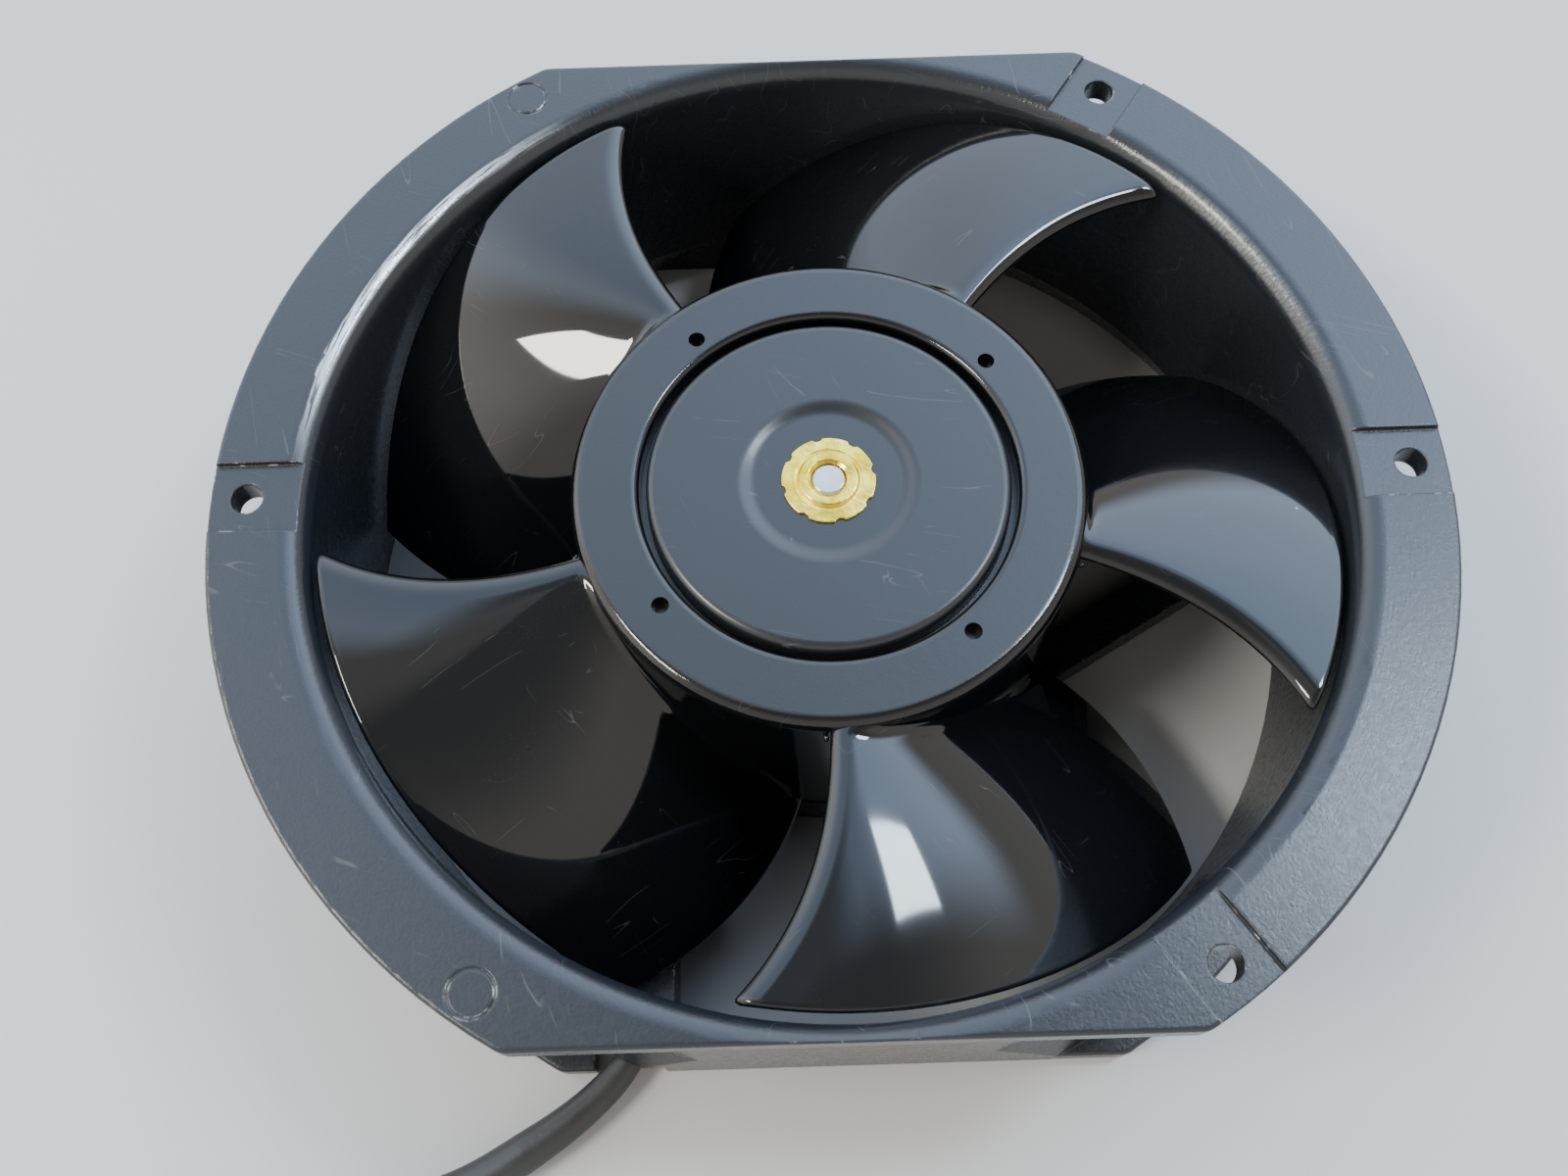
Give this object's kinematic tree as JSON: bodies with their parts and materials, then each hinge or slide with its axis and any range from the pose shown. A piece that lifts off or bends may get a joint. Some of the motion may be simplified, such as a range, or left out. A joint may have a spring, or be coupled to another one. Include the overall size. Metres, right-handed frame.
{
  "type": "axial cooling fan",
  "caption": "Round-bodied axial cooling fan with two flats, an open-front external-rotor motor with swept blades, three rear struts and a side cable.",
  "frame": {"origin": "on the fan axis, at the rear face that the fan rests on", "axes": "+Z along the rotor axis towards the intake face, +-Y square to the frame's two flats, cable leaves beside the -Y flat"},
  "size_m": [0.191, 0.1816, 0.051],
  "materials": {
    "bearing_steel": "ground bearing steel",
    "black_nylon": "black nylon",
    "black_paint": "semi-gloss black paint over a fine cast texture",
    "black_plastic": "high-gloss black moulded plastic",
    "black_steel": "satin black coating on drawn steel",
    "board_laminate": "fibre laminate board",
    "bright_steel": "turned bright steel",
    "cable_sheath": "satin black PVC sheath",
    "cast_aluminium": "as-cast aluminium",
    "cover_steel": "black painted sheet steel",
    "enamelled_copper": "enamelled copper wire",
    "foil_label": "blank brushed foil",
    "lamination_steel": "bare electrical steel edges",
    "natural_nylon": "natural nylon",
    "tinned_copper": "tinned copper",
    "wire_insulation": "black PVC insulation",
    "yellow_zinc": "yellow-passivated zinc plate",
    "zinc_screw": "zinc-plated steel"
  },
  "bodies": {
    "frame": {"bearing_tube": "bright_steel", "board_screws": "zinc_screw", "cable_jacket": "cable_sheath", "cable_tie": "black_nylon", "cover_screws": "zinc_screw", "front_bearing_shields": "bright_steel", "front_outer_race": "bearing_steel", "housing": "black_paint", "lead_wires": "wire_insulation", "preload_spring": "bright_steel", "rear_bearing_shields": "bright_steel", "rear_cover": "cover_steel", "rear_label": "foil_label", "rear_outer_race": "bearing_steel", "stator_insulators": "natural_nylon", "stator_laminations": "lamination_steel", "stator_windings": "enamelled_copper", "terminal_block": "natural_nylon", "terminal_board": "board_laminate", "thermal_cutout": "black_nylon", "winding_pins": "tinned_copper", "wire_ends": "tinned_copper"},
    "rotor": {"impeller": "black_plastic", "rotor_cup": "black_steel", "rotor_laminations": "lamination_steel", "squirrel_cage": "cast_aluminium", "rotor_bush": "bright_steel", "shaft": "bright_steel", "shaft_shim": "bright_steel", "shaft_retainer": "yellow_zinc", "rear_retaining_ring": "bright_steel", "front_inner_race": "bearing_steel", "rear_inner_race": "bearing_steel"},
    "front_ball_set": {"front_balls": "bearing_steel", "front_ball_cage": "bright_steel"},
    "rear_ball_set": {"rear_balls": "bearing_steel", "rear_ball_cage": "bright_steel"}
  },
  "joints": [
    {"name": "rotor_spin", "type": "hinge", "parent": "frame", "child": "rotor", "pos_m": [0, 0, 0.027], "axis": [0, 0, 1], "continuous": true},
    {"name": "front_balls_roll", "type": "hinge", "parent": "frame", "child": "front_ball_set", "pos_m": [0, 0, 0.0405], "axis": [0, 0, 1], "continuous": true},
    {"name": "rear_balls_roll", "type": "hinge", "parent": "frame", "child": "rear_ball_set", "pos_m": [0, 0, 0.0135], "axis": [0, 0, 1], "continuous": true}
  ],
  "couplings": [
    {"joint": "front_balls_roll", "follows": "rotor_spin", "ratio": 0.368},
    {"joint": "rear_balls_roll", "follows": "rotor_spin", "ratio": 0.368}
  ]
}
